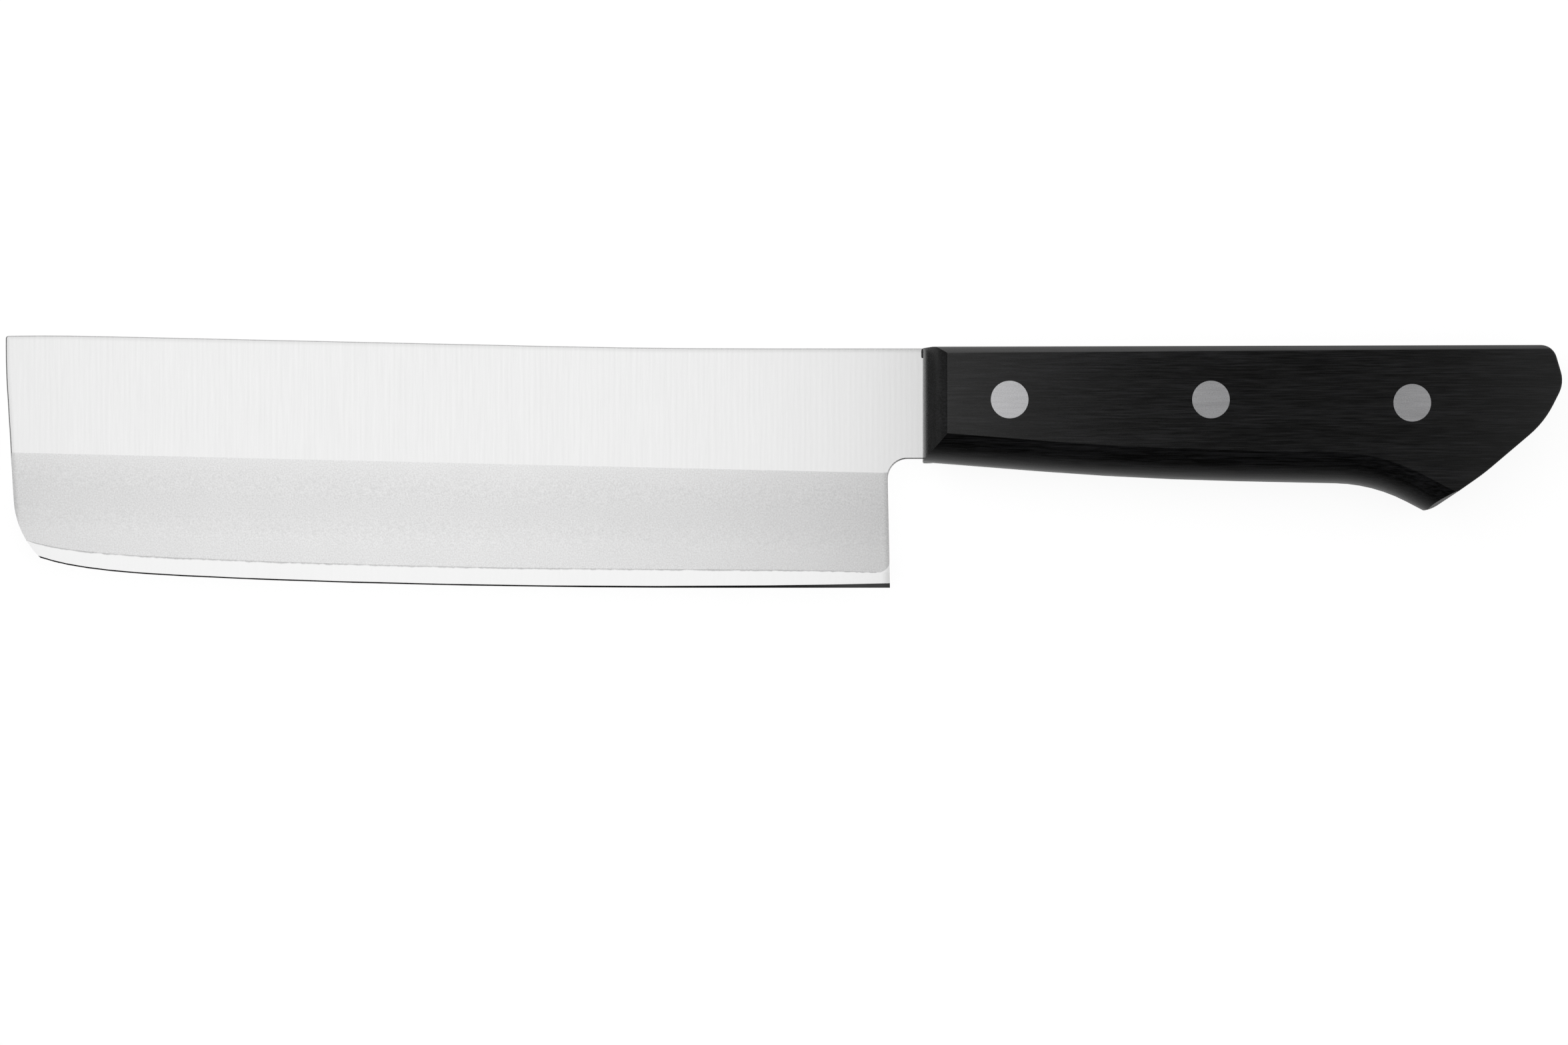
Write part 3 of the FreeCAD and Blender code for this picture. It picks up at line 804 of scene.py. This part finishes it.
@dataclass
class WhiteTable:
    """The floor: white to the camera but for a faint shadow, and dim in mirrors before the edge."""

    size: float = 12.0               # lengths in metres
    plain_colour: str = "#E6E6E6"    # what it gives back to the knife as soft light
    shadow_colour: str = "#9F9F9F"   # what the panels light and a shadow takes away

    # Its glow to the camera, near the knife and where the panels no longer reach.
    near: float = 0.16
    far: float = 0.6
    near_glow: float = 0.89
    far_glow: float = 1.0

    # Its glow in mirrors, before the edge and behind the spine.
    front: float = -0.06
    back: float = 0.05
    front_gleam: float = 0.01
    back_gleam: float = 0.91

    def lay(self) -> None:
        """Lays the floor."""
        bpy.ops.object.select_all(action="DESELECT")
        bpy.ops.mesh.primitive_plane_add(size=self.size)
        floor = bpy.context.object
        floor.name = "floor"
        material = bare_material("white_table")
        tree = material.node_tree
        path = add_node(tree, "LightPath").outputs
        camera = path["Is Camera Ray"]
        rays = {0: path["Is Glossy Ray"], 1: path["Is Transmission Ray"]}
        mirrored = add_node(tree, "Math", rays, operation="MAXIMUM").outputs[0]
        place = add_node(tree, "TexCoord").outputs["Object"]
        _, back, _ = add_node(tree, "SeparateXYZ", {0: place}).outputs
        away = add_node(tree, "VectorMath", {0: place}, operation="LENGTH").outputs["Value"]

        bright = {"Value": away, 1: self.near, 2: self.far, 3: self.near_glow, 4: self.far_glow}
        bright = add_node(tree, "MapRange", bright, interpolation_type="SMOOTHSTEP").outputs[0]
        bright = add_node(tree, "Math", {0: camera, 1: bright}, operation="MULTIPLY").outputs[0]
        gleam = {"Value": back, 1: self.front, 2: self.back, 3: self.front_gleam, 4: self.back_gleam}
        gleam = add_node(tree, "MapRange", gleam, interpolation_type="SMOOTHSTEP").outputs[0]
        glare = {0: mirrored, 1: gleam, 2: bright}
        glare = add_node(tree, "Math", glare, operation="MULTIPLY_ADD").outputs[0]

        seen = add_node(tree, "Math", {0: camera, 1: mirrored}, operation="MAXIMUM").outputs[0]
        plain = add_node(tree, "BsdfDiffuse", {"Color": linear(self.plain_colour)}).outputs[0]
        shadow = add_node(tree, "BsdfDiffuse", {"Color": linear(self.shadow_colour)}).outputs[0]
        glow = add_node(tree, "Emission", {"Color": linear(WHITE), "Strength": glare}).outputs[0]
        white = add_node(tree, "AddShader", {0: shadow, 1: glow}).outputs[0]
        mixed = add_node(tree, "MixShader", {0: seen, 1: plain, 2: white}).outputs[0]
        add_node(tree, "OutputMaterial", {"Surface": mixed})
        floor.data.materials.append(material)


@dataclass
class StudioAir:
    """The air round the table: pale low down but for a dim side before the edge, and dim above.

    The camera sees it white. Directions are unit vectors, so that a limit is the sine or cosine of an angle.
    """

    # Low down: past the nose, and on all other sides.
    nose_limits: Span = (-0.97, -0.7)
    nose_level: float = 0.28
    pale_level: float = 0.8

    # Low down before the edge, where the handle's belly and the honed bevel mirror it.
    dim_way: Triple = (-0.17, -0.98, 0.0)
    dim_limits: Span = (0.70, 0.90)
    dim_level: float = 0.03

    # Above: on the edge's side, and from the middle on.
    top_limits: Span = (-0.6, 0.0)
    top_levels: Span = (0.015, 0.06)
    rise_limits: Span = (0.15, 0.75)     # from low down to above

    def fill(self) -> None:
        """Lights the world."""
        world = bpy.data.worlds.new("studio_air")
        bpy.context.scene.world = world
        world.use_nodes = True
        tree = world.node_tree
        tree.nodes.clear()
        way = add_node(tree, "TexCoord").outputs["Generated"]
        _, back, up = add_node(tree, "SeparateXYZ", {0: way}).outputs
        # The way along the floor, whatever the rise.
        level_way = {0: way, 1: (1.0, 1.0, 0.0)}
        level_way = add_node(tree, "VectorMath", level_way, operation="MULTIPLY").outputs[0]
        level_way = add_node(tree, "VectorMath", {0: level_way}, operation="NORMALIZE").outputs[0]
        across = add_node(tree, "SeparateXYZ", {0: level_way}).outputs[0]

        low = {"Value": across, 1: self.nose_limits[0], 2: self.nose_limits[1]}
        low |= {3: self.nose_level, 4: self.pale_level}
        low = add_node(tree, "MapRange", low).outputs[0]
        facing = {0: level_way, 1: self.dim_way}
        facing = add_node(tree, "VectorMath", facing, operation="DOT_PRODUCT").outputs["Value"]
        dim = {"Value": facing, 1: self.dim_limits[0], 2: self.dim_limits[1]}
        dim = add_node(tree, "MapRange", dim, interpolation_type="SMOOTHSTEP").outputs[0]
        low = add_node(tree, "Mix", {0: dim, 2: low, 3: self.dim_level}).outputs[0]
        top = {"Value": back, 1: self.top_limits[0], 2: self.top_limits[1]}
        top |= {3: self.top_levels[0], 4: self.top_levels[1]}
        top = add_node(tree, "MapRange", top).outputs[0]
        high = {"Value": up, 1: self.rise_limits[0], 2: self.rise_limits[1]}
        high = add_node(tree, "MapRange", high).outputs[0]
        level = add_node(tree, "Mix", {0: high, 2: low, 3: top}).outputs[0]

        air = add_node(tree, "Background", {"Color": linear(WHITE), "Strength": level}).outputs[0]
        white = add_node(tree, "Background", {"Color": linear(WHITE), "Strength": 1.0}).outputs[0]
        seen = add_node(tree, "LightPath").outputs["Is Camera Ray"]
        mixed = add_node(tree, "MixShader", {0: seen, 1: air, 2: white}).outputs[0]
        add_node(tree, "OutputWorld", {"Surface": mixed})


@dataclass
class Studio:
    """A white table and soft light: a close panel over the blade, a dimmer one past the butt, and the air."""

    table: WhiteTable = field(default_factory=WhiteTable)
    air: StudioAir = field(default_factory=StudioAir)
    panels: tuple[SoftPanel, ...] = (
        SoftPanel("blade_panel", (-0.082, 0.07, 0.29), (0.252, 0.36), 0.99),
        SoftPanel("butt_panel", (0.3, 0.07, 0.29), (0.296, 0.36), 0.56),
    )

    def build(self) -> None:
        """Sets up floor, air and panels."""
        self.table.lay()
        self.air.fill()
        for panel in self.panels:
            panel.hang()


@dataclass
class PhotoCamera:
    """The camera of the photograph, which looks straight down on the knife from far off."""

    centre: tuple[float, float] = (0.22 * MM, -11.37 * MM)
    height: float = 3.009                # in metres, as all lengths but the sensor's
    frame_width: float = 292.57 * MM     # what the picture's width takes in, at the blade's middle
    blade_middle: float = 9.0 * MM
    sensor: float = 36.0                 # in millimetres, as Blender takes it
    sight: float = 100.0                 # how far it sees

    def set_up(self) -> None:
        """Places the camera and makes it the scene's."""
        data = bpy.data.cameras.new("photo_camera")
        data.sensor_fit = "HORIZONTAL"
        data.sensor_width = self.sensor
        data.lens = self.sensor * (self.height - self.blade_middle) / self.frame_width
        data.clip_end = self.sight
        camera = bpy.data.objects.new("photo_camera", data)
        camera.location = (*self.centre, self.height)
        bpy.context.scene.collection.objects.link(camera)
        bpy.context.scene.camera = camera


def main() -> None:
    """Dresses the knife, piece by piece, and sets up the studio."""
    logging.basicConfig(level=logging.INFO, format="%(name)s: %(message)s")
    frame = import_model()
    Blade().dress(frame["nodes"])
    Handle().dress(frame["nodes"])
    Rivets().dress(frame["nodes"])
    GlueAndShadeBeads().build()
    Studio().build()
    PhotoCamera().set_up()
    bpy.context.scene.view_settings.view_transform = "Standard"


if __name__ == "__main__":
    main()
